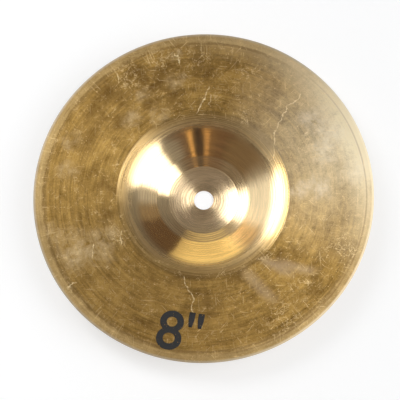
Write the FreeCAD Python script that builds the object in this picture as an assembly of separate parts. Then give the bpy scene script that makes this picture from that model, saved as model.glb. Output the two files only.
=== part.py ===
import FreeCAD
import Part
import math
import os

# A splash cymbal: one casting of bell bronze, hammered to shape and then turned on a lathe, all in one piece.
# It lies on its bell with its hollow side up, as a cymbal is laid down. Its axis is Z, and the outside of the
# bell's crown stands on the plane Z = 0. From the middle outwards the metal runs through a flat seat round the
# hole, the crown, the shoulder, the flank and the edge of the bell, then the bow and a narrow band at the rim.
# Lengths are in millimetres, slopes in degrees above the level.

# The disc and the hole that the stand's rod goes through
diameter = 203.2
hole_diameter = 12.0
broken_corner = 0.10

# How far outwards each stretch of the section reaches
seat_width = 4.2
crown_width = 10.0
shoulder_width = 5.6
knuckle_width = 1.6
flank_width = 9.2
bell_edge_width = 14.0
rim_band_width = 4.6

# How steeply the metal climbs where each stretch ends; the bow takes the width that is left
crown_slope = 13.0
shoulder_slope = 21.0
flank_slope = 34.0
bow_root_slope = 3.5
bow_end_slope = 7.5
rim_slope = 9.0

# The gauge of the metal: even over the bell, thinned by the lathe from there to the rim
bell_gauge = 0.95
rim_gauge = 0.55

# The rings that the turning tool leaves on the hollow side, and the tonal grooves of the playing side
ring_width = 0.8
ring_depth = 0.06
groove_width = 7.2
groove_depth = 0.10

# The bronze, in grams for each cubic millimetre
bronze_density = 0.0087


def lines(corners):
    """Straight edges from each corner to the next."""
    return [Part.LineSegment(a, b).toShape() for a, b in zip(corners, corners[1:])]


class Stretch:
    """One stretch of the section: an arc that leaves with the slope the last stretch ended on, or a straight."""

    def __init__(self, start, end):
        self.radius, self.height, self.slope, self.gauge = start
        self.width, self.end_slope, self.end_gauge, self.hollow_cut, self.playing_cut = end
        self.bend = 0
        if self.end_slope != self.slope:
            self.bend = self.width / (math.sin(self.end_slope) - math.sin(self.slope))

    def on_hollow_face(self, share):
        """The radius, height and slope of the hollow face, a share of the way along the stretch."""
        slope = self.slope + share * (self.end_slope - self.slope)
        if self.bend == 0:
            run = share * self.width
            return self.radius + run, self.height + run * math.tan(slope), slope
        radius = self.radius + self.bend * (math.sin(slope) - math.sin(self.slope))
        height = self.height + self.bend * (math.cos(self.slope) - math.cos(slope))
        return radius, height, slope

    def point(self, share, depth):
        """A point of the XZ plane that lies a depth below the hollow face, measured square to it."""
        radius, height, slope = self.on_hollow_face(share)
        return FreeCAD.Vector(radius + depth * math.sin(slope), 0, height - depth * math.cos(slope))

    def hollow_point(self, share, cut_depth=0):
        """A point of the hollow face, or of the bottom of a cut in it."""
        return self.point(share, cut_depth)

    def playing_point(self, share, cut_depth=0):
        """A point of the face that is struck, or of the bottom of a cut in it."""
        gauge = self.gauge + share * (self.end_gauge - self.gauge)
        return self.point(share, gauge - cut_depth)

    def face_edges(self, face_point, cut):
        """One face's edges along the stretch: its own curve, or the two flanks of each cut side by side."""
        if cut is None:
            if self.bend == 0:
                return lines([face_point(0), face_point(1)])
            return [Part.Arc(face_point(0), face_point(0.5), face_point(1)).toShape()]
        cut_width, cut_depth = cut
        length = self.width / math.cos((self.slope + self.end_slope) / 2)
        count = max(1, round(length / cut_width))
        corners = [face_point(0)]
        for number in range(count):
            corners.append(face_point((number + 0.5) / count, cut_depth))
            corners.append(face_point((number + 1) / count))
        return lines(corners)

    def end(self):
        """Where the stretch ends, which is where the next one starts."""
        radius, height, slope = self.on_hollow_face(1)
        return radius, height, slope, self.end_gauge


def rim_overhang():
    """How far the cut edge of the rim reaches beyond the end of the hollow face."""
    slope = math.radians(rim_slope)
    return rim_gauge * math.sin(slope) + broken_corner * (math.cos(slope) - math.sin(slope))


def section_stretches():
    """The stretches from the hole to the rim, each with the cuts in its hollow face and in its playing face."""
    ring = (ring_width, ring_depth)
    groove = (groove_width, groove_depth)
    bell = [
        (seat_width - broken_corner, 0, bell_gauge, None, None),
        (ring_width, 0, bell_gauge, ring, None),
        (crown_width, crown_slope, bell_gauge, None, None),
        (ring_width, shoulder_slope, bell_gauge, ring, None),
        (shoulder_width, shoulder_slope, bell_gauge, None, None),
        (knuckle_width, flank_slope, bell_gauge, None, None),
        (flank_width, flank_slope, bell_gauge, None, None),
        (bell_edge_width, bow_root_slope, bell_gauge, None, None),
    ]
    seat_start = hole_diameter / 2 + broken_corner
    bell_radius = seat_start + sum(width for width, *_ in bell)
    bow_width = diameter / 2 - rim_overhang() - rim_band_width - ring_width - bell_radius
    bow = [
        (bow_width, bow_end_slope, rim_gauge, None, groove),
        (ring_width, rim_slope, rim_gauge, ring, ring),
        (rim_band_width, rim_slope, rim_gauge, None, None),
    ]
    start = (seat_start, bell_gauge, 0, bell_gauge)
    stretches = []
    for width, slope, gauge, hollow_cut, playing_cut in bell + bow:
        stretch = Stretch(start, (width, math.radians(slope), gauge, hollow_cut, playing_cut))
        stretches.append(stretch)
        start = stretch.end()
    return stretches


def cut_edge(low, high, outwards):
    """The wall that closes the section at the hole or at the rim, with both of its corners broken."""
    across = (high - low).normalize() * broken_corner
    out = outwards * broken_corner
    return lines([low, low + out + across, high + out - across, high])


def cymbal(stretches):
    """The whole cymbal: its closed section turned once about the axis."""
    seat, band = stretches[0], stretches[-1]
    inwards = FreeCAD.Vector(-1, 0, 0)
    outwards = FreeCAD.Vector(math.cos(band.end_slope), 0, math.sin(band.end_slope))
    edges = cut_edge(seat.playing_point(0), seat.hollow_point(0), inwards)
    for stretch in stretches:
        edges += stretch.face_edges(stretch.hollow_point, stretch.hollow_cut)
        edges += stretch.face_edges(stretch.playing_point, stretch.playing_cut)
    edges += cut_edge(band.playing_point(1), band.hollow_point(1), outwards)
    section = Part.Face(Part.Wire(Part.__sortEdges__(edges)))
    solid = section.revolve(FreeCAD.Vector(0, 0, 0), FreeCAD.Vector(0, 0, 1), 360)
    if solid.Volume < 0:
        solid.reverse()
    return solid


def report(solid, stretches):
    """Print the sizes that the turned solid comes out with."""
    box = solid.optimalBoundingBox()
    print("valid", solid.isValid(), "faces", len(solid.Faces))
    print("across", round(box.XLength, 2), "deep", round(box.ZLength, 2), "lowest", round(box.ZMin, 4))
    print("weighs", round(solid.Volume * bronze_density), "g")
    for stretch in stretches:
        radius, height, slope, gauge = stretch.end()
        print("stretch ends at radius", round(radius, 2), "height", round(height, 2), "gauge", round(gauge, 2))


os.makedirs("parts", exist_ok=True)
section = section_stretches()
turned = cymbal(section)
turned.exportStep("parts/cymbal.step")
report(turned, section)
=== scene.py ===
import math
from types import SimpleNamespace

import bmesh
import bpy
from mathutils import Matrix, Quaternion, Vector


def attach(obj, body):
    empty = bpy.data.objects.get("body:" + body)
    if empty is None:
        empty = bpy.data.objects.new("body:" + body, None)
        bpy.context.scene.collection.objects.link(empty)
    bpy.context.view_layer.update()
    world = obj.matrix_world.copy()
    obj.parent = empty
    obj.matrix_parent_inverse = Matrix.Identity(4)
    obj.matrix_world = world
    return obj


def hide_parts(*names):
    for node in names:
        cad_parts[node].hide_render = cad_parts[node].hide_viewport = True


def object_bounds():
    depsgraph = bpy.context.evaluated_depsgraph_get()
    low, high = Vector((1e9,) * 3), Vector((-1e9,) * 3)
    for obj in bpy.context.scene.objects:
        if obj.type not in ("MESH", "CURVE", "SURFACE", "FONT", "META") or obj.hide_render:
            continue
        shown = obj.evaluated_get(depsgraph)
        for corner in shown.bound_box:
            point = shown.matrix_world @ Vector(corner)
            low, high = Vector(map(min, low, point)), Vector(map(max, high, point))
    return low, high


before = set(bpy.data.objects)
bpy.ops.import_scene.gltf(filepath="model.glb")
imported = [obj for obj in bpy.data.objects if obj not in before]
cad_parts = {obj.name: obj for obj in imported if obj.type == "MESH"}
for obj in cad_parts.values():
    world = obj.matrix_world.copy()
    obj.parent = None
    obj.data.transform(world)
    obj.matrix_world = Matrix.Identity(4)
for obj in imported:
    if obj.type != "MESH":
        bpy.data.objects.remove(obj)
cad_low, cad_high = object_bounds()

# The cymbal: one disc of cast bell bronze, hammered into its bell and bow and turned on a lathe.
# It lies on its bell, hollow side up, and nothing is fixed to it. Its section is worked out from the solid's
# own sizes, in stretches that run into each other, and a node tree turns the section about Z.

MM = 0.001

hole_radius = 6.0 * MM
broken_corner = 0.10 * MM
ring_width = 0.8 * MM
ring_depth = 0.06 * MM
groove_width = 7.2 * MM
groove_depth = 0.10 * MM
bell_gauge = 0.95 * MM
rim_gauge = 0.55 * MM
rim_band_width = 4.6 * MM
rim_slope = 9.0

# each stretch from the hole outwards: its name, its width, and the slope in degrees that it ends with
stretches = [
    ("seat", 4.2 * MM - broken_corner, 0.0),
    ("ring", ring_width, 0.0),
    ("crown", 10.0 * MM, 13.0),
    ("ring", ring_width, 21.0),
    ("shoulder", 5.6 * MM, 21.0),
    ("knuckle", 1.6 * MM, 34.0),
    ("flank", 9.2 * MM, 34.0),
    ("bell_edge", 14.0 * MM, 3.5),
]
rim_overhang = (rim_gauge * math.sin(math.radians(rim_slope))
                + broken_corner * (math.cos(math.radians(rim_slope)) - math.sin(math.radians(rim_slope))))
bell_radius = hole_radius + broken_corner + sum(width for _, width, _ in stretches)
bow_width = cad_high.x - rim_overhang - rim_band_width - ring_width - bell_radius
stretches += [
    ("bow", bow_width, 7.5),
    ("rim_ring", ring_width, rim_slope),
    ("rim_band", rim_band_width, rim_slope),
]

# how far apart the section's points may be, on the hollow face and on the playing face
hollow_step = 0.42 * MM
playing_step = 0.8 * MM
facets_round = 256

# how uneven the hammering left the metal, and between which radii it shows
hammer_depth = 0.015 * MM
hammer_marks_per_metre = 60.0
hammered_from, hammered_fully_from = 12 * MM, 30 * MM
hammered_fully_to, hammered_to = 90 * MM, 101 * MM
weld_distance = 0.001 * MM


def arc_point(start, width, end_slope, share):
    """Radius, height and slope a share of the way along a stretch that starts at (radius, height, slope)."""
    radius, height, slope = start
    if slope == end_slope:
        return radius + share * width, height + share * width * math.tan(slope), slope
    bend = width / (math.sin(end_slope) - math.sin(slope))
    here = slope + share * (end_slope - slope)
    return (radius + bend * (math.sin(here) - math.sin(slope)),
            height + bend * (math.cos(slope) - math.cos(here)), here)


def below(point, depth):
    """The point a depth below the hollow face, square to it."""
    radius, height, slope = point
    return radius + depth * math.sin(slope), height - depth * math.cos(slope)


def cut_profile(run, length, cut):
    """How deep a row of V-shaped cuts, side by side over a length, is at a run along it."""
    if cut is None:
        return 0.0
    width, depth = cut
    count = max(1, round(length / width))
    across = (run / length * count) % 1.0
    return depth * (1 - abs(2 * across - 1))


def face_points(step, playing):
    """One face's points from the hole to the rim, no further apart than a step."""
    start = (hole_radius + broken_corner, bell_gauge, 0.0)
    thinned = 0.0
    points = []
    for name, width, slope_degrees in stretches:
        end_slope = math.radians(slope_degrees)
        length = width / math.cos((start[2] + end_slope) / 2)
        cut = None
        if name == "rim_ring" or (name == "ring" and not playing):
            cut = (ring_width, ring_depth)
        if name == "bow" and playing:
            cut = (groove_width, groove_depth)
        thinning = 1.0 if name == "bow" else 0.0
        count = 2 * math.ceil(length / step / 2)
        for index in range(count):
            share = index / count
            depth = cut_profile(share * length, length, cut)
            if playing:
                gauge = bell_gauge + (thinned + thinning * share) * (rim_gauge - bell_gauge)
                depth = gauge - depth
            points.append(below(arc_point(start, width, end_slope, share), depth))
        start = arc_point(start, width, end_slope, 1.0)
        thinned += thinning
    points.append(below(start, rim_gauge if playing else 0.0))
    return points


def closed_section():
    """The whole section's points: the hollow face, the rim, the playing face and the hole's wall."""
    hollow, playing = face_points(hollow_step, False), face_points(playing_step, True)
    slope = math.radians(rim_slope)
    out = Vector((math.cos(slope), math.sin(slope))) * broken_corner
    low, high = Vector(playing[-1]), Vector(hollow[-1])
    up = (high - low).normalized() * broken_corner
    rim = [high + out - up, low + out + up]
    hole_top, hole_foot = (hole_radius, bell_gauge - broken_corner), (hole_radius, broken_corner)
    return [hole_top, *hollow, *rim, *playing[::-1], hole_foot, hole_top]


def mesh_object(name, points=(), edges=(), faces=()):
    """A mesh object made of points, edges and faces, put into the scene."""
    mesh = bpy.data.meshes.new(name)
    mesh.from_pydata(points, edges, faces)
    piece = bpy.data.objects.new(name, mesh)
    bpy.context.scene.collection.objects.link(piece)
    return piece


def place(tree, kind, inputs=(), **settings):
    """A node with its settings, each input given a value or wired to a socket."""
    node = tree.nodes.new(kind)
    for name, value in settings.items():
        setattr(node, name, value)
    for key, value in dict(inputs).items():
        socket = node.inputs[key]
        if isinstance(value, bpy.types.NodeSocket):
            tree.links.new(value, socket)
        else:
            socket.default_value = value
    return node


def work_out(tree, operation, *values):
    """A Math node's result."""
    return place(tree, "ShaderNodeMath", dict(enumerate(values)), operation=operation).outputs[0]


def vector_out(tree, operation, *values):
    """A Vector Math node's vector."""
    return place(tree, "ShaderNodeVectorMath", dict(enumerate(values)), operation=operation).outputs[0]


def vector_value(tree, operation, *values):
    """A Vector Math node's number, such as a length or a distance."""
    return place(tree, "ShaderNodeVectorMath", dict(enumerate(values)), operation=operation).outputs["Value"]


def product(tree, first, *others):
    """Several values multiplied together."""
    for other in others:
        first = work_out(tree, "MULTIPLY", first, other)
    return first


def total(tree, first, *others):
    """The sum of several values."""
    for other in others:
        first = work_out(tree, "ADD", first, other)
    return first


def ramped(tree, value, low, high, to_low=0.0, to_high=1.0, **settings):
    """A value carried from one range to another and held at its ends."""
    ends = {"Value": value, "From Min": low, "From Max": high, "To Min": to_low, "To Max": to_high}
    return place(tree, "ShaderNodeMapRange", ends, **settings).outputs[0]


def between(tree, value, low, full_low, full_high, high):
    """1 over a range of a value, falling to 0 at both of its sides."""
    return product(tree, ramped(tree, value, low, full_low), ramped(tree, value, high, full_high))


def noise(tree, vector, scale, detail=3.0, roughness=0.6, distortion=0.0):
    """A Noise texture's value."""
    ends = {"Vector": vector, "Scale": scale, "Detail": detail, "Roughness": roughness,
            "Distortion": distortion}
    return place(tree, "ShaderNodeTexNoise", ends).outputs[0]


def turning_tree():
    """The node tree that turns a section about Z and lays the hammering's unevenness over the metal."""
    tree = bpy.data.node_groups.new("turn_on_lathe", "GeometryNodeTree")
    sizes = ["Hammer depth", "Hammer marks per metre", "Hammered from", "Hammered fully from",
             "Hammered fully to", "Hammered to", "Weld distance"]
    kinds = {"Section": "Geometry", "Points in section": "Int", "Facets round": "Int", "Bronze": "Material"}
    kinds.update({name: "Float" for name in sizes})
    for name, kind in kinds.items():
        tree.interface.new_socket(name, in_out="INPUT", socket_type="NodeSocket" + kind)
    tree.interface.new_socket("Cymbal", in_out="OUTPUT", socket_type="NodeSocketGeometry")
    given = place(tree, "NodeGroupInput").outputs

    # the grid, a row for each of the section's points and a column for each facet, the first one twice
    rows = given["Points in section"]
    columns = total(tree, given["Facets round"], 1)
    grid = place(tree, "GeometryNodeMeshGrid",
                 {"Size X": 1.0, "Size Y": 1.0, "Vertices X": rows, "Vertices Y": columns})
    flat = place(tree, "ShaderNodeSeparateXYZ", {0: grid.outputs["UV Map"]}).outputs
    chart = place(tree, "ShaderNodeCombineXYZ", {"X": flat["Y"], "Y": flat["X"]}).outputs[0]
    mapped = place(tree, "GeometryNodeStoreNamedAttribute",
                   {"Geometry": grid.outputs["Mesh"], "Name": "UVMap", "Value": chart},
                   data_type="FLOAT2", domain="CORNER").outputs[0]

    # each of its points goes to the section's own point and is turned by its column's angle
    index = place(tree, "GeometryNodeInputIndex").outputs[0]
    along = work_out(tree, "FLOOR", work_out(tree, "DIVIDE", total(tree, index, 0.5), columns))
    around = work_out(tree, "SUBTRACT", index, product(tree, along, columns))
    angle = product(tree, work_out(tree, "DIVIDE", around, given["Facets round"]), math.tau)
    position = place(tree, "GeometryNodeInputPosition").outputs[0]
    found = place(tree, "GeometryNodeSampleIndex", {"Geometry": given["Section"], "Index": along},
                  data_type="FLOAT_VECTOR", domain="POINT")
    tree.links.new(position, found.inputs["Value"])
    turned = place(tree, "ShaderNodeVectorRotate", {"Vector": found.outputs[0], "Angle": angle},
                   rotation_type="Z_AXIS").outputs[0]
    shaped = place(tree, "GeometryNodeSetPosition", {"Geometry": mapped, "Position": turned}).outputs[0]
    closed = place(tree, "GeometryNodeMergeByDistance",
                   {"Geometry": shaped, "Distance": given["Weld distance"]}).outputs[0]

    # the hammering lifts and lowers the metal a little, between the seat and the rim
    unevenness = noise(tree, position, given["Hammer marks per metre"], 1.0, 0.5)
    level = product(tree, work_out(tree, "SUBTRACT", unevenness, 0.5), given["Hammer depth"])
    radius = vector_value(tree, "LENGTH", vector_out(tree, "MULTIPLY", position, (1.0, 1.0, 0.0)))
    kept = between(tree, radius, given["Hammered from"], given["Hammered fully from"],
                   given["Hammered fully to"], given["Hammered to"])
    lift = place(tree, "ShaderNodeCombineXYZ", {"Z": product(tree, level, kept)}).outputs[0]
    hammered = place(tree, "GeometryNodeSetPosition", {"Geometry": closed, "Offset": lift}).outputs[0]
    smooth = place(tree, "GeometryNodeSetShadeSmooth", {"Geometry": hammered}).outputs[0]
    realized = place(tree, "GeometryNodeRealizeInstances", {"Geometry": smooth}).outputs[0]
    finished = place(tree, "GeometryNodeSetMaterial", {"Geometry": realized, "Material": given["Bronze"]})
    place(tree, "NodeGroupOutput", {0: finished.outputs[0]})
    return tree


def grown(piece, tree, **inputs):
    """The piece's own mesh replaced by what the node tree makes of it, with no modifier left."""
    modifier = piece.modifiers.new(tree.name, "NODES")
    modifier.node_group = tree
    names = {item.name: item.identifier for item in tree.interface.items_tree if item.in_out == "INPUT"}
    for name, value in inputs.items():
        modifier[names[name.replace("_", " ")]] = value
    bpy.context.view_layer.update()
    seen = piece.evaluated_get(bpy.context.evaluated_depsgraph_get())
    mesh = bpy.data.meshes.new_from_object(seen)
    piece.modifiers.clear()
    piece.data = mesh
    return piece


# where the patina is rubbed pale or is thick and dark: angle in degrees, radius and reach in millimetres,
# and how far the edges of these patches are pulled about
raggedness = 14.0
pale_patches = [
    (-165, 80, 16), (-172, 92, 10), (27, 81, 13), (17, 85, 12), (11, 77, 12), (-6, 70, 11), (-7, 58, 8),
    (93, 91, 7), (125, 65, 9), (95, 73, 8), (113, 73, 8), (150, 88, 8), (162, 84, 9), (110, 55, 10),
    (-163, 62, 14), (0, 94, 14), (-157, 72, 13), (-160, 86, 14)]
dark_patches = [
    (146, 80, 14), (134, 82, 14), (121, 82, 14), (108, 81, 14), (95, 82, 14), (82, 84, 14), (70, 86, 12),
    (125, 90, 10), (112, 64, 11), (99, 64, 12), (130, 68, 10), (168, 57, 14), (-176, 58, 12), (-31, 89, 14),
    (-48, 84, 12), (-52, 60, 13), (-112, 53, 8), (-77, 53, 8), (-40, 80, 10), (-95, 68, 12), (112, 89, 12),
    (104, 74, 12), (-42, 66, 12)]
# where the lacquer is crazed
crazed_patches = [
    (100, 88, 14), (113, 87, 12), (84, 86, 10), (-66, 89, 16), (-52, 80, 10), (-30, 89, 14), (15, 70, 14),
    (62, 82, 12), (-53, 51, 9), (55, 56, 9), (-160, 56, 8), (75, 62, 8)]
# where short scratches run from the rim inwards
hatched_patches = [(122, 96, 20), (104, 96, 20), (84, 96, 14), (-66, 96, 18)]
# each long scratch: the angle and radius where it starts and where it ends
scratches = [
    ((86, 51.5), (81.5, 60)), ((81.5, 60), (78, 67.5)), ((78, 57), (76, 63)), ((91.5, 84), (92.5, 91)),
    ((118, 88), (117, 93)), ((38, 72), (37.5, 86)), ((35, 62), (38, 72)), ((32, 57), (35, 62)),
    ((20, 48), (32, 57)), ((22, 70), (23.5, 74)), ((-104, 62), (-102, 76)), ((-110, 52), (-104, 62)),
    ((-152, 92), (-151, 98)), ((-163, 53.5), (-156, 57)), ((-162, 72), (-157, 76))]
scratch_width = 0.55
# finger marks in the film: the same, with the width of each
smudges = [(((-69.5, 57), (-66.5, 73)), 6.0), (((-56, 56), (-53, 68)), 4.5), (((-50, 65), (-46, 77)), 5.0)]
smudge_fade = 8.0
# how fine lines of handling lie, in degrees
hair_turns = (12, 57, 96, 141)
# the middle of the side that hands have held, which has a milky film and a painted sheen of the lamps' glare,
# and how far the film reaches from it
sheen_and_film_radius, sheen_and_film_angle = 97.0, 13.0
film_reach, film_full = 81.0, 6.0
# the pitch of the lathe tool's spiral
thread_pitch = 1.45


def swing(tree, pattern, low, high):
    """A noise's middle values spread over a range."""
    return ramped(tree, pattern, 0.3, 0.7, low, high)


def near(tree, value, middle, far, close):
    """1 where a value is close to a middle, falling to 0 where it is far from it."""
    aside = work_out(tree, "ABSOLUTE", work_out(tree, "SUBTRACT", value, middle))
    return ramped(tree, aside, far, close)


def scaled(tree, vector, amount):
    """A vector made longer or a colour made lighter by an amount."""
    return place(tree, "ShaderNodeVectorMath", {0: vector, "Scale": amount}, operation="SCALE").outputs[0]


def tinted(tree, share, colour, other):
    """One colour mixed towards another by a share."""
    ends = {0: share}
    for number, paint in ((6, colour), (7, other)):
        ends[number] = paint if isinstance(paint, bpy.types.NodeSocket) else (*paint, 1.0)
    return place(tree, "ShaderNodeMix", ends, data_type="RGBA").outputs[2]


def blended(tree, share, value, other):
    """One value mixed towards another by a share."""
    return place(tree, "ShaderNodeMix", {0: share, 2: value, 3: other}).outputs[0]


def on_circle(radius, degrees):
    """The point at a radius and an angle."""
    return radius * math.cos(math.radians(degrees)), radius * math.sin(math.radians(degrees)), 0.0


def apart(tree, spot, other):
    """How far a place on the metal is from a point."""
    return vector_value(tree, "DISTANCE", spot, other)


def facing(tree, at, degrees):
    """1 on the side of the cymbal that lies at an angle, falling to -1 on the opposite side."""
    return vector_value(tree, "DOT_PRODUCT", at.outwards, on_circle(1.0, degrees))


def drawn_out(tree, at, closeness):
    """A space whose patterns run round the axis, in longer arcs the less closeness it has."""
    return vector_out(tree, "ADD", scaled(tree, at.outwards, closeness), at.up)


def patched(tree, spot, patches):
    """A soft mark round each of the patches' middles, from 0 to 1."""
    marks = []
    for angle, radius, reach in patches:
        away = apart(tree, spot, on_circle(radius, angle))
        marks.append(ramped(tree, away, reach, 0.0, interpolation_type="SMOOTHSTEP"))
    return total(tree, *marks)


def drawn(tree, angle, radius, ends, width, fade=0.5):
    """A stroke over the metal from one angle and radius to another, 1 along its middle and 0 beside it."""
    (angle_start, radius_start), (angle_end, radius_end) = ends
    follows = ramped(tree, radius, radius_start, radius_end,
                     math.radians(angle_start), math.radians(angle_end), clamp=False)
    aside = product(tree, work_out(tree, "SUBTRACT", angle, follows), radius)
    line = ramped(tree, work_out(tree, "ABSOLUTE", aside), width, 0.0, interpolation_type="SMOOTHSTEP")
    return product(tree, line, between(tree, radius, radius_start - fade, radius_start,
                                       radius_end, radius_end + fade))


def places_on_metal(tree):
    """Where each point of the metal lies, in millimetres and radians, seen along the axis."""
    metres = place(tree, "ShaderNodeTexCoord").outputs["Object"]
    spot = vector_out(tree, "MULTIPLY", metres, (1000.0, 1000.0, 0.0))
    flat = place(tree, "ShaderNodeSeparateXYZ", {0: spot}).outputs
    radius = vector_value(tree, "LENGTH", spot)
    return SimpleNamespace(
        spot=spot, x=flat["X"], y=flat["Y"], radius=radius,
        angle=work_out(tree, "ARCTAN2", flat["Y"], flat["X"]),
        outwards=vector_out(tree, "NORMALIZE", spot),
        up=place(tree, "ShaderNodeCombineXYZ", {"Z": radius}).outputs[0])


def patterns_on_metal(tree, at):
    """The noises that break up the finish, some clouded and some drawn out by the lathe."""
    return SimpleNamespace(
        wander=noise(tree, at.spot, 0.12),
        clouds=noise(tree, at.spot, 0.045, 5.0, 0.6, 0.8),
        mottle=noise(tree, at.spot, 0.17, 6.0, 0.72),
        blotches=noise(tree, at.spot, 0.26, 5.0, 0.72, 0.8),
        grain=noise(tree, at.spot, 1.3),
        smears=noise(tree, drawn_out(tree, at, 14.0), 0.33, 5.0, 0.68),
        streaks=noise(tree, drawn_out(tree, at, 2.5), 1.1, 4.0, 0.7),
        rings=noise(tree, drawn_out(tree, at, 0.7), 0.8),
        tool_lines=ramped(tree, noise(tree, drawn_out(tree, at, 0.7), 1.5, 2.0), 0.46, 0.62))


def zones_of_metal(tree, at, pattern):
    """How much of each zone's finish a point has, from 0 to 1."""
    # the bell's polish reaches its edge at -14 and 146 degrees, where the soft boxes show in it; elsewhere
    # the patina creeps in from 42 mm
    polish_to_edge_right = ramped(tree, facing(tree, at, -14), 0.76, 0.92)
    polish_to_edge_left = ramped(tree, facing(tree, at, 146), 0.84, 0.98, 0.0, 0.75)
    kept = ramped(tree, work_out(tree, "MAXIMUM", polish_to_edge_right, polish_to_edge_left), 1.0, 0.0)
    creeping = total(tree, at.radius, swing(tree, pattern.streaks, -2.0, 2.0))
    crept = product(tree, ramped(tree, creeping, 42.0, 52.0), kept)
    creeping_rim = total(tree, at.radius, swing(tree, pattern.rings, -0.4, 0.4),
                         swing(tree, pattern.mottle, -0.8, 0.8))
    # the side with the film, whose pale colour is partly a painted sheen of the lamps' glare
    sheen_and_film_distance = apart(tree, at.spot, on_circle(sheen_and_film_radius, sheen_and_film_angle))
    return SimpleNamespace(
        bow=work_out(tree, "MAXIMUM", ramped(tree, at.radius, 51.7, 52.3), crept),
        crown=ramped(tree, at.radius, 23.0, 18.0),
        creeping_rim=creeping_rim,
        band=ramped(tree, creeping_rim, 93.5, 98.0),
        film_and_sheen=ramped(tree, sheen_and_film_distance, film_reach, film_full),
        scuffed=ramped(tree, facing(tree, at, 10), -0.8, 0.3, 0.5, 1.0))


def fine_hairs(tree, at):
    """Hair-fine straight marks that lie in a few directions."""
    hairs = []
    for number, turn in enumerate(hair_turns):
        along = place(tree, "ShaderNodeVectorRotate", {"Vector": at.spot, "Angle": math.radians(turn)},
                      rotation_type="Z_AXIS").outputs[0]
        hair = vector_out(tree, "MULTIPLY", along, (0.09, 1.5, 1.0))
        hair = vector_out(tree, "ADD", hair, (7.3 * number, 3.1 * number, 0.0))
        hairs.append(ramped(tree, noise(tree, hair, 1.0, 2.0, 0.5, 0.2), 0.66, 0.75))
    return total(tree, *hairs)


def marks_on_metal(tree, at, pattern, zones):
    """The wear that has a place of its own: patches, finger marks, long scratches, and all lines together."""
    warp = place(tree, "ShaderNodeTexNoise", {"Vector": at.spot, "Scale": 0.11, "Detail": 4.0}).outputs[1]
    ragged = vector_out(tree, "MULTIPLY_ADD", warp, (raggedness, raggedness, 0.0), at.spot)
    ragged = vector_out(tree, "SUBTRACT", ragged, (raggedness / 2, raggedness / 2, 0.0))
    pale = product(tree, patched(tree, ragged, pale_patches), ramped(tree, pattern.mottle, 0.35, 0.62))
    dark = product(tree, patched(tree, ragged, dark_patches), ramped(tree, pattern.mottle, 0.74, 0.44))
    wiped = [drawn(tree, at.angle, at.radius, ends, width, smudge_fade) for ends, width in smudges]

    wobbled = total(tree, at.angle, ramped(tree, pattern.wander, 0.0, 1.0, -0.06, 0.06))
    strokes = total(tree, *[drawn(tree, wobbled, at.radius, ends, scratch_width) for ends in scratches])
    strokes = product(tree, strokes, ramped(tree, noise(tree, at.spot, 0.5), 0.42, 0.56, 0.25, 1.0))

    hairs = product(tree, fine_hairs(tree, at), zones.scuffed,
                    ramped(tree, pattern.clouds, 0.38, 0.52, 0.2, 1.0))
    outward_lines = vector_out(tree, "ADD", scaled(tree, at.outwards, 95.0), scaled(tree, at.up, 0.07))
    hatched = work_out(tree, "MAXIMUM", ramped(tree, pattern.clouds, 0.45, 0.60, 0.0, 0.6),
                       patched(tree, ragged, hatched_patches))
    spokes = product(tree, ramped(tree, noise(tree, outward_lines, 1.0, 2.0), 0.60, 0.72),
                     ramped(tree, at.radius, 80.0, 90.0), hatched)
    crazed = total(tree, ramped(tree, pattern.mottle, 0.52, 0.66), patched(tree, ragged, crazed_patches))
    flaked = product(tree, near(tree, noise(tree, at.spot, 0.16, 4.0, 0.65), 0.5, 0.020, 0.0), crazed)
    flecks = product(tree, ramped(tree, noise(tree, at.spot, 0.8, 2.0, 0.5), 0.66, 0.74), zones.scuffed)
    lines = total(tree, strokes, hairs, flaked, flecks, product(tree, spokes, 0.8))
    return SimpleNamespace(pale=pale, dark=dark, wiped=total(tree, *wiped), strokes=strokes,
                           lines=work_out(tree, "MINIMUM", lines, 1.0))


def patina_colour(tree, at, pattern, zones, marks):
    """The bow's brown patina with its patches, finger marks and grime, and the cleaner band at the rim, both
    with painted shade from side to side.
    """
    blotched = product(tree, swing(tree, pattern.blotches, -0.22, 0.22), zones.scuffed)
    lightness = total(tree, swing(tree, pattern.clouds, 0.13, 0.49), swing(tree, pattern.mottle, -0.10, 0.10),
                      swing(tree, pattern.streaks, -0.16, 0.16), swing(tree, pattern.rings, -0.08, 0.08),
                      swing(tree, pattern.grain, 0.04, 0.28), blotched,
                      swing(tree, pattern.smears, -0.16, 0.16))
    # painted shade: the rim band is made darker towards the top and lighter towards the bottom, and the bow
    # darker towards the left
    band_tone_with_painted_shade = total(tree, lightness, ramped(tree, at.y, -80.0, 80.0, 0.10, -0.04))
    bow_tone_with_painted_shade = total(tree, lightness, ramped(tree, at.x, -80.0, 80.0, -0.10, -0.01))
    patina = tinted(tree, bow_tone_with_painted_shade, (0.155, 0.084, 0.015), (0.62, 0.400, 0.115))
    darkened = work_out(tree, "MINIMUM", product(tree, marks.dark, 0.6), 0.7)
    patina = tinted(tree, darkened, patina, (0.12, 0.060, 0.010))
    patina = tinted(tree, product(tree, marks.pale, 0.5), patina, (0.68, 0.54, 0.32))
    patina = tinted(tree, product(tree, marks.wiped, 0.40), patina, (0.54, 0.42, 0.28))
    turned_lines = total(tree, between(tree, at.radius, 42.0, 46.0, 51.0, 55.0),
                         ramped(tree, at.radius, 91.0, 94.0, 0.0, 0.6))
    patina = tinted(tree, product(tree, pattern.tool_lines, turned_lines, 0.45), patina, (0.12, 0.065, 0.018))
    grime = between(tree, at.radius, 42.0, 46.0, 49.0, 54.0)
    patina = tinted(tree, product(tree, grime, 0.72), patina, (0.10, 0.055, 0.015))
    return tinted(tree, zones.band, patina, tinted(tree, band_tone_with_painted_shade, (0.25, 0.16, 0.055), (0.65, 0.47, 0.21)))


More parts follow.
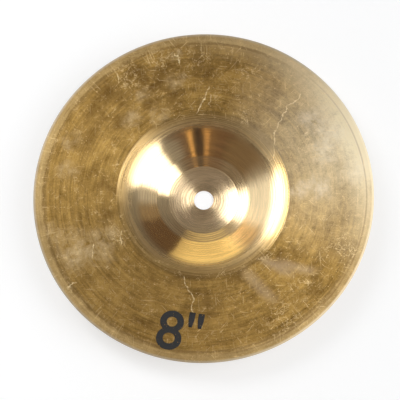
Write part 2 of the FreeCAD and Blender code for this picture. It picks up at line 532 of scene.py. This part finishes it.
def film_and_sheen_colour(tree, at, pattern, zones, marks, patina):
    """The patina seen through the milky film on the side that was held, with its whiter bloom; the film's
    pale colour there and along the rim on that side is partly a painted sheen of the lamps' glare.
    """
    haze_and_sheen = total(tree, swing(tree, pattern.clouds, 0.48, 0.80), swing(tree, pattern.mottle, -0.10, 0.10),
                 swing(tree, pattern.blotches, -0.16, 0.16), swing(tree, pattern.streaks, -0.08, 0.08),
                 swing(tree, pattern.grain, -0.12, 0.12))
    # painted sheen: the rim is made paler towards the right, where the lamps' glare lies
    rim_haze_and_sheen = product(tree, ramped(tree, facing(tree, at, 25), 0.40, 0.90, 0.0, 0.50),
                       ramped(tree, at.radius, 84.0, 97.0))
    haze_and_sheen = work_out(tree, "MINIMUM", total(tree, product(tree, haze_and_sheen, zones.film_and_sheen), rim_haze_and_sheen), 1.0)
    # painted sheen: the milky colour is partly the lamps' glare painted into the film
    milk_and_sheen = tinted(tree, zones.film_and_sheen, (0.75, 0.60, 0.35), (0.88, 0.78, 0.54))
    patina = tinted(tree, haze_and_sheen, patina, milk_and_sheen)
    bloom = product(tree, marks.pale, ramped(tree, zones.film_and_sheen, 0.05, 0.45, 0.0, 0.42))
    return tinted(tree, bloom, patina, (0.93, 0.86, 0.72))


def rim_colour(tree, at, zones, patina):
    """The dark turned line inside the rim band, a finer one in it on the side facing the right soft box, and
    the cut edge, grey with a painted highlight on that side.
    """
    inside_line = product(tree, near(tree, zones.creeping_rim, 95.5, 0.9, 0.2),
                          ramped(tree, zones.film_and_sheen, 0.0, 0.5, 0.4, 0.0))
    patina = tinted(tree, inside_line, patina, (0.16, 0.085, 0.02))
    # painted highlight: the cut edge is made bright on the side facing the right soft box, and the finer line
    # is drawn only there
    right_lit_side = ramped(tree, facing(tree, at, -25), 0.3, 0.8)
    thin_line = product(tree, near(tree, at.radius, 97.3, 0.7, 0.1), right_lit_side, 0.45)
    patina = tinted(tree, thin_line, patina, (0.24, 0.13, 0.04))
    cut_edge_with_highlight = tinted(tree, right_lit_side, (0.55, 0.50, 0.42), (1.0, 0.90, 0.68))
    return tinted(tree, ramped(tree, at.radius, 100.0, 100.8, 0.0, 0.6), patina, cut_edge_with_highlight)


def bell_colour(tree, at, pattern, zones):
    """The buffed bell, duller on the crown and round the hole, with the tool's lines etched into it."""
    bright = tinted(tree, ramped(tree, at.radius, 41.0, 49.0), (0.93, 0.71, 0.41), (0.86, 0.60, 0.26))
    bright = tinted(tree, zones.crown, bright, (0.81, 0.62, 0.385))
    bright = tinted(tree, ramped(tree, at.radius, 14.0, 8.0, 0.0, 0.4), bright, (0.42, 0.31, 0.18))
    etched = product(tree, pattern.tool_lines, total(tree, ramped(tree, at.radius, 42.0, 46.0, 0.06, 0.5),
                                                     ramped(tree, at.radius, 20.0, 14.0, 0.0, 0.10)))
    bright = tinted(tree, etched, bright, (0.16, 0.095, 0.035))
    wear = total(tree, swing(tree, pattern.streaks, 0.86, 1.06), swing(tree, pattern.rings, -0.05, 0.05))
    return scaled(tree, bright, wear)


def turned_relief(tree, at, pattern, zones, marks):
    """The tool's spiral, which is deeper on the bell, with dents and scratches, in millimetres."""
    phase = total(tree, at.radius, ramped(tree, pattern.rings, 0.0, 1.0, -0.5, 0.5))
    spiral = work_out(tree, "SINE", product(tree, phase, math.tau / thread_pitch))
    thread = product(tree, spiral, ramped(tree, zones.bow, 0.0, 1.0, 0.008, 0.0015))
    dents = product(tree, ramped(tree, noise(tree, at.spot, 0.2, 1.0), 0.0, 1.0, 0.0, 0.04), zones.bow)
    height = total(tree, thread, ramped(tree, pattern.streaks, 0.0, 1.0, 0.0, 0.008), dents,
                   product(tree, marks.strokes, -0.01))
    return place(tree, "ShaderNodeBump", {"Height": height, "Strength": 1.0, "Distance": MM}).outputs[0]


def bronze_finish():
    """Turned bell bronze: a bright bell, a bow under worn brown patina and a thin film that carries a painted
    sheen, a cleaner rim.
    """
    bronze = bpy.data.materials.new("bell_bronze")
    bronze.use_nodes = True
    tree = bronze.node_tree
    shader = tree.nodes["Principled BSDF"]
    shader.inputs["Metallic"].default_value = 1.0
    shader.inputs["Anisotropic Rotation"].default_value = 0.25
    shader.inputs["Coat Roughness"].default_value = 0.32
    shader.inputs["Coat IOR"].default_value = 2.0

    at = places_on_metal(tree)
    pattern = patterns_on_metal(tree, at)
    zones = zones_of_metal(tree, at, pattern)
    marks = marks_on_metal(tree, at, pattern, zones)

    patina = patina_colour(tree, at, pattern, zones, marks)
    patina = film_and_sheen_colour(tree, at, pattern, zones, marks, patina)
    patina = rim_colour(tree, at, zones, patina)
    patina = tinted(tree, product(tree, marks.lines, 0.65), patina, (0.90, 0.70, 0.38))
    bared = work_out(tree, "MINIMUM", product(tree, marks.strokes, 0.5), 0.6)
    patina = tinted(tree, bared, patina, (1.0, 0.88, 0.58))

    buffed = ramped(tree, zones.crown, 0.0, 1.0, 0.19, 0.22)
    dull = total(tree, swing(tree, pattern.mottle, 0.50, 0.66),
                 ramped(tree, marks.lines, 0.0, 1.0, 0.0, -0.15))
    film = product(tree, ramped(tree, zones.film_and_sheen, 0.0, 1.0, 0.08, 0.85),
                   ramped(tree, total(tree, pattern.clouds, pattern.mottle), 0.7, 1.3, 0.72, 1.08))
    wired = {
        "Base Color": tinted(tree, zones.bow, bell_colour(tree, at, pattern, zones), patina),
        "Roughness": blended(tree, zones.bow, buffed, dull),
        "Anisotropic": ramped(tree, zones.bow, 0.0, 1.0, 0.9, 0.55),
        "Coat Weight": blended(tree, zones.bow, 0.04, film),
        "Normal": turned_relief(tree, at, pattern, zones, marks),
        "Tangent": place(tree, "ShaderNodeTangent", direction_type="RADIAL", axis="Z").outputs[0],
    }
    for name, socket in wired.items():
        tree.links.new(socket, shader.inputs[name])
    return bronze


section = closed_section()
cymbal = mesh_object("turned_bronze", [(x, 0.0, z) for x, z in section],
                     [(i, i + 1) for i in range(len(section) - 1)])
grown(cymbal, turning_tree(), Points_in_section=len(section), Facets_round=facets_round,
      Bronze=bronze_finish(), Hammer_depth=hammer_depth, Hammer_marks_per_metre=hammer_marks_per_metre,
      Hammered_from=hammered_from, Hammered_fully_from=hammered_fully_from,
      Hammered_fully_to=hammered_fully_to, Hammered_to=hammered_to, Weld_distance=weld_distance)
cymbal.data.set_sharp_from_angle(angle=math.radians(30))
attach(cymbal, "root")
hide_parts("cymbal")

# The size mark: a plain numeral eight and an inch sign for the nominal size, screen printed in black ink.
# The film of ink lies on the hollow side of the bow, follows its curve and is worn through in places.

mark_text = '8"'
mark_radius, mark_angle = 84.0 * MM, -107.0
mark_height = 24.0 * MM
mark_turn = -18.0
stroke_swell = 0.012
ink_rise = 0.025 * MM
ink_sunk = 0.010 * MM
ink_step = 1.5 * MM


def bow_height(radius):
    """The height of the hollow face at a radius on the bow, found by halving the stretch that holds it."""
    start = (hole_radius + broken_corner, bell_gauge, 0.0)
    for _, width, slope_degrees in stretches:
        if radius <= start[0] + width:
            break
        start = arc_point(start, width, math.radians(slope_degrees), 1.0)
    low_share, high_share = 0.0, 1.0
    for _ in range(30):
        share = (low_share + high_share) / 2
        if arc_point(start, width, math.radians(slope_degrees), share)[0] < radius:
            low_share = share
        else:
            high_share = share
    return arc_point(start, width, math.radians(slope_degrees), low_share)[1]


def ink_finish():
    """Black ink, dull, with flecks where it has worn off down to the bronze."""
    ink = bpy.data.materials.new("black_ink")
    ink.use_nodes = True
    tree = ink.node_tree
    shader = tree.nodes["Principled BSDF"]
    shader.inputs["Specular IOR Level"].default_value = 0.25
    spot = scaled(tree, place(tree, "ShaderNodeTexCoord").outputs["Object"], 1000.0)
    cloudy = noise(tree, spot, 0.5, 4.0, 0.7)
    speckled = swing(tree, noise(tree, spot, 2.2, 2.0), -0.08, 0.08)
    worn = ramped(tree, total(tree, cloudy, speckled), 0.66, 0.70)
    black = tinted(tree, noise(tree, spot, 1.2), (0.010, 0.011, 0.014), (0.035, 0.034, 0.034))
    grain = {"Height": noise(tree, spot, 3.0, 2.0), "Strength": 0.3, "Distance": 0.02 * MM}
    tree.links.new(tinted(tree, worn, black, (0.36, 0.22, 0.07)), shader.inputs["Base Color"])
    tree.links.new(worn, shader.inputs["Metallic"])
    tree.links.new(swing(tree, cloudy, 0.42, 0.62), shader.inputs["Roughness"])
    tree.links.new(place(tree, "ShaderNodeBump", grain).outputs[0], shader.inputs["Normal"])
    return ink


def numeral_outline():
    """The mark's strokes as a flat mesh at their real size, with their middle at the origin."""
    glyphs = bpy.data.curves.new("size_mark_outline", "FONT")
    glyphs.body = mark_text
    glyphs.size = 1.0
    glyphs.resolution_u = 8
    glyphs.offset = stroke_swell
    outline = bpy.data.objects.new("size_mark_outline", glyphs)
    bpy.context.scene.collection.objects.link(outline)
    bpy.context.view_layer.update()
    flat_mark = bpy.data.meshes.new_from_object(outline.evaluated_get(bpy.context.evaluated_depsgraph_get()))
    bpy.data.objects.remove(outline)
    built = bmesh.new()
    built.from_mesh(flat_mark)
    low_x, high_x = min(v.co.x for v in built.verts), max(v.co.x for v in built.verts)
    low_y, high_y = min(v.co.y for v in built.verts), max(v.co.y for v in built.verts)
    scale = mark_height / (high_y - low_y)
    for vertex in built.verts:
        vertex.co = Vector(((vertex.co.x - (low_x + high_x) / 2) * scale,
                            (vertex.co.y - (low_y + high_y) / 2) * scale, 0))
    bmesh.ops.remove_doubles(built, verts=built.verts, dist=weld_distance)
    return built


def divided(built):
    """The flat mesh cut along a net of lines, so that it can bend."""
    cuts = math.ceil(mark_height / ink_step)
    for number in range(-cuts, cuts + 1):
        for way in (Vector((1, 0, 0)), Vector((0, 1, 0))):
            everything = built.verts[:] + built.edges[:] + built.faces[:]
            bmesh.ops.bisect_plane(built, geom=everything, plane_co=way * (number * ink_step), plane_no=way,
                                   dist=weld_distance)


def laid_on_bow(built):
    """The flat mesh carried to its place, just under the hollow face, and given the thickness of the ink."""
    middle = Vector(on_circle(mark_radius, mark_angle))
    turn = Quaternion((0, 0, 1), math.radians(mark_turn))
    for vertex in built.verts:
        spot = middle + turn @ vertex.co
        vertex.co = Vector((spot.x, spot.y, bow_height(math.hypot(spot.x, spot.y)) - ink_sunk))
    bmesh.ops.recalc_face_normals(built, faces=built.faces)
    if sum(face.normal.z * face.calc_area() for face in built.faces) < 0:
        bmesh.ops.reverse_faces(built, faces=built.faces)
    raised = bmesh.ops.extrude_face_region(built, geom=built.faces[:])["geom"]
    for vertex in [item for item in raised if isinstance(item, bmesh.types.BMVert)]:
        vertex.co.z += ink_rise + ink_sunk
    bmesh.ops.recalc_face_normals(built, faces=built.faces)


ink_film = numeral_outline()
divided(ink_film)
laid_on_bow(ink_film)
size_mark = mesh_object("size_mark")
ink_film.to_mesh(size_mark.data)
ink_film.free()
size_mark.data.materials.append(ink_finish())
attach(size_mark, "root")

# The table: a sheet of white paper that runs out of the picture on all sides, with a painted shade that makes
# it a little dimmer to the right.
# The camera and polished metal see part of its white as a glow, and the rest of it takes the shadows.

table_reach = 6.0
gradient_reach = 0.12
glow_left, glow_right = 0.64, 0.56


def paper_finish():
    """White paper, with a glow that only the camera, mirrors and clear things see."""
    paper = bpy.data.materials.new("white_paper")
    paper.use_nodes = True
    tree = paper.node_tree
    tree.nodes.clear()
    plain = place(tree, "ShaderNodeBsdfDiffuse", {"Color": (0.80, 0.80, 0.81, 1)}).outputs[0]
    shaded = place(tree, "ShaderNodeBsdfDiffuse", {"Color": (0.462, 0.47, 0.482, 1)}).outputs[0]
    metres = place(tree, "ShaderNodeTexCoord").outputs["Object"]
    flat = place(tree, "ShaderNodeSeparateXYZ", {0: metres}).outputs
    # painted shade: the glow is made a little dimmer to the right
    strength = ramped(tree, flat["X"], -gradient_reach, gradient_reach, glow_left, glow_right)
    glow = place(tree, "ShaderNodeEmission", {"Color": (1, 1, 1, 1), "Strength": strength}).outputs[0]
    lit = place(tree, "ShaderNodeAddShader", {0: shaded, 1: glow}).outputs[0]
    path = place(tree, "ShaderNodeLightPath").outputs
    seen = work_out(tree, "MAXIMUM", path["Is Camera Ray"],
                    work_out(tree, "MAXIMUM", path["Is Glossy Ray"], path["Is Transmission Ray"]))
    mixed = place(tree, "ShaderNodeMixShader", {0: seen, 1: plain, 2: lit}).outputs[0]
    place(tree, "ShaderNodeOutputMaterial", {"Surface": mixed})
    return paper


def sheet(name, middle, side, up):
    """A flat four-cornered sheet round its middle: a vector to its side and one to its top."""
    corners = [middle + side * i + up * j for i, j in ((-1, -1), (1, -1), (1, 1), (-1, 1))]
    return mesh_object(name, corners, faces=[(0, 1, 2, 3)])


table = sheet("table", Vector((0, 0, 0)), Vector((table_reach, 0, 0)), Vector((0, table_reach, 0)))
table.data.materials.append(paper_finish())

# The lights: two soft boxes hang over the table, one on each side, and face the cymbal.
# Their light falls off towards their edges, and each is narrower at one of its ends.


def towards(azimuth, elevation):
    """The way from the cymbal to a lamp, a card or the camera, both angles in degrees."""
    a, e = math.radians(azimuth), math.radians(elevation)
    return Vector((math.cos(a) * math.cos(e), math.sin(a) * math.cos(e), math.sin(e)))


def soft_edge(tree, across, soft, squareness, taper):
    """1 in the middle of a surface that runs from 0 to 1 both ways, falling to 0 over a share of it."""
    ways = place(tree, "ShaderNodeSeparateXYZ", {0: across}).outputs
    across_x, across_y = [ramped(tree, way, 0.0, 1.0, -1.0, 1.0) for way in (ways["X"], ways["Y"])]
    narrowed = product(tree, across_x, ramped(tree, across_y, -1.0, 1.0, 1 - taper, 1 + taper))
    powers = []
    for aside in (narrowed, across_y):
        powers.append(work_out(tree, "POWER", work_out(tree, "ABSOLUTE", aside), squareness))
    reach = work_out(tree, "POWER", total(tree, *powers), 1 / squareness)
    return ramped(tree, reach, 1.0, 1 - soft, interpolation_type="SMOOTHSTEP")


def soft_box(name, azimuth, elevation, lean, distance, width, height, radiance, soft, squareness, taper):
    """A soft box of a width and height in metres, leaning sideways by an angle in degrees."""
    lamp = bpy.data.lights.new(name, "AREA")
    lamp.shape = "RECTANGLE"
    lamp.size = width
    lamp.size_y = height
    lamp.energy = radiance * width * height * math.pi
    lamp.use_nodes = True
    tree = lamp.node_tree
    across = place(tree, "ShaderNodeNewGeometry").outputs["Parametric"]
    shine = soft_edge(tree, across, soft, squareness, taper)
    tree.links.new(shine, tree.nodes["Emission"].inputs["Strength"])
    holder = bpy.data.objects.new(name, lamp)
    bpy.context.scene.collection.objects.link(holder)
    way = towards(azimuth, elevation)
    holder.location = way * distance
    turn = way.to_track_quat("Z", "Y") @ Quaternion((0, 0, 1), math.radians(lean))
    holder.rotation_euler = turn.to_euler()


soft_box("right_soft_box", azimuth=-17.2, elevation=50.1, lean=-15.5, distance=0.9, width=0.60, height=0.93,
         radiance=3.1, soft=0.22, squareness=3.0, taper=0.4)
soft_box("left_soft_box", azimuth=131.3, elevation=59.8, lean=24.6, distance=0.9, width=0.42, height=0.625,
         radiance=4.7, soft=0.2, squareness=1.8, taper=0.45)

# The cards: warm and pale reflectors, dark flags and two orange strips, round the cymbal and over it.
# Only polished metal sees them. They have soft edges and throw no shadow.

# each card: its azimuth and elevation, distance in metres, width and height as angles, colour, and the
# shares of its half width and half height over which it fades out
cards = {
    "gold_reflector": (89.5, 17, 1.1, 75, 40, (1.14, 0.93, 0.45), 0.75, 0.35),
    "north_west_wall": (148, 24, 1.3, 46, 50, (0.88, 0.90, 0.92), 0.4, 0.25),
    "north_west_gap": (119, 16, 1.05, 28, 36, (0.58, 0.42, 0.24), 0.8, 0.3),
    "east_flag": (57, 18, 1.2, 62, 46, (0.09, 0.05, 0.025), 0.4, 0.3),
    "far_east_flag": (27, 18, 1.3, 32, 36, (0.22, 0.165, 0.10), 0.6, 0.3),
    "south_flag": (-101, 47, 1.2, 58, 58, (0.14, 0.08, 0.04), 0.4, 0.35),
    "south_west_flag": (-150, 36, 1.3, 76, 64, (0.17, 0.12, 0.07), 0.7, 0.5),
    "left_strip": (-83.5, 49, 1.0, 5.5, 26, (1.15, 0.70, 0.26), 0.6, 0.2),
    "right_strip": (-105.5, 49, 1.0, 7.0, 26, (0.74, 0.43, 0.16), 0.6, 0.2),
    "middle_flag": (-94.5, 49, 1.1, 15, 40, (0.02, 0.008, 0.004), 0.5, 0.2),
    "end_flag": (-114.5, 47, 1.1, 12, 40, (0.17, 0.10, 0.045), 0.7, 0.2),
    "ceiling": (80, 82, 1.5, 50, 50, (0.29, 0.26, 0.23), 0.4, 0.4),
}


def card_finish(name, colour, soft_sides, soft_ends):
    """An even glow that fades out over shares of the card's sides and ends."""
    paint = bpy.data.materials.new(name)
    paint.use_nodes = True
    tree = paint.node_tree
    tree.nodes.clear()
    glow = place(tree, "ShaderNodeEmission", {"Color": (*colour, 1), "Strength": 1.0}).outputs[0]
    clear = place(tree, "ShaderNodeBsdfTransparent").outputs[0]
    ways = place(tree, "ShaderNodeSeparateXYZ", {0: place(tree, "ShaderNodeTexCoord").outputs["UV"]}).outputs
    fades = []
    for way, soft in ((ways["X"], soft_sides), (ways["Y"], soft_ends)):
        aside = work_out(tree, "ABSOLUTE", ramped(tree, way, 0.0, 1.0, -1.0, 1.0))
        fades.append(ramped(tree, aside, 1.0, 1 - soft, interpolation_type="SMOOTHSTEP"))
    shown = place(tree, "ShaderNodeMixShader", {0: product(tree, *fades), 1: clear, 2: glow}).outputs[0]
    place(tree, "ShaderNodeOutputMaterial", {"Surface": shown})
    return paint


def card(name, azimuth, elevation, distance, width, height, colour, soft_sides, soft_ends):
    """A flat card that faces the cymbal."""
    way = towards(azimuth, elevation)
    a = math.radians(azimuth)
    side = Vector((-math.sin(a), math.cos(a), 0)) * distance * math.tan(math.radians(width / 2))
    up = way.cross(side).normalized() * distance * math.tan(math.radians(height / 2))
    piece = sheet(name, way * distance, side, up)
    chart = piece.data.uv_layers.new(name="UVMap")
    for loop, corner in zip(chart.data, ((0, 0), (1, 0), (1, 1), (0, 1))):
        loop.uv = corner
    piece.data.materials.append(card_finish(name, colour, soft_sides, soft_ends))
    piece.visible_camera = False
    piece.visible_diffuse = False
    piece.visible_shadow = False


for card_name, card_sizes in cards.items():
    card(card_name, *card_sizes)

# The room: dim overhead and pale towards the level, as walls are that the table lights up.
# It fills what neither the soft boxes nor the cards cover.

wall_height, wall_colour = 0.1, (0.95, 0.95, 0.95, 1)
ceiling_height, ceiling_colour = 0.62, (0.20, 0.19, 0.175, 1)

world = bpy.data.worlds.new("room")
bpy.context.scene.world = world
world.use_nodes = True
room = world.node_tree
room.nodes.clear()
direction = place(room, "ShaderNodeTexCoord").outputs["Generated"]
level = place(room, "ShaderNodeSeparateXYZ", {0: direction}).outputs["Z"]
ramp = place(room, "ShaderNodeValToRGB", {0: level})
for stop, (height, colour) in zip(ramp.color_ramp.elements,
                                  ((wall_height, wall_colour), (ceiling_height, ceiling_colour))):
    stop.position = height
    stop.color = colour
background = place(room, "ShaderNodeBackground", {"Color": ramp.outputs[0], "Strength": 1.0}).outputs[0]
place(room, "ShaderNodeOutputWorld", {"Surface": background})

# The camera: it stands in front of the cymbal, looks steeply down on it and is rolled a little.
# Its place, roll and lens were fitted to the photograph.

camera_distance = 0.600
camera_elevation = 74.75
camera_roll = 8.1
camera_lens = 89.32
camera_aim = Vector((-2.25 * MM, -2.6 * MM, 12 * MM))

eye = bpy.data.cameras.new("camera")
eye.lens = camera_lens
camera = bpy.data.objects.new("camera", eye)
bpy.context.scene.collection.objects.link(camera)
bpy.context.scene.camera = camera
back = towards(-90.0, camera_elevation)
camera.location = camera_aim + back * camera_distance
camera.rotation_mode = "QUATERNION"
rolled = Quaternion((0, 0, 1), math.radians(-camera_roll))
camera.rotation_quaternion = (-back).to_track_quat("-Z", "Y") @ rolled

bpy.context.scene.view_settings.view_transform = "Standard"
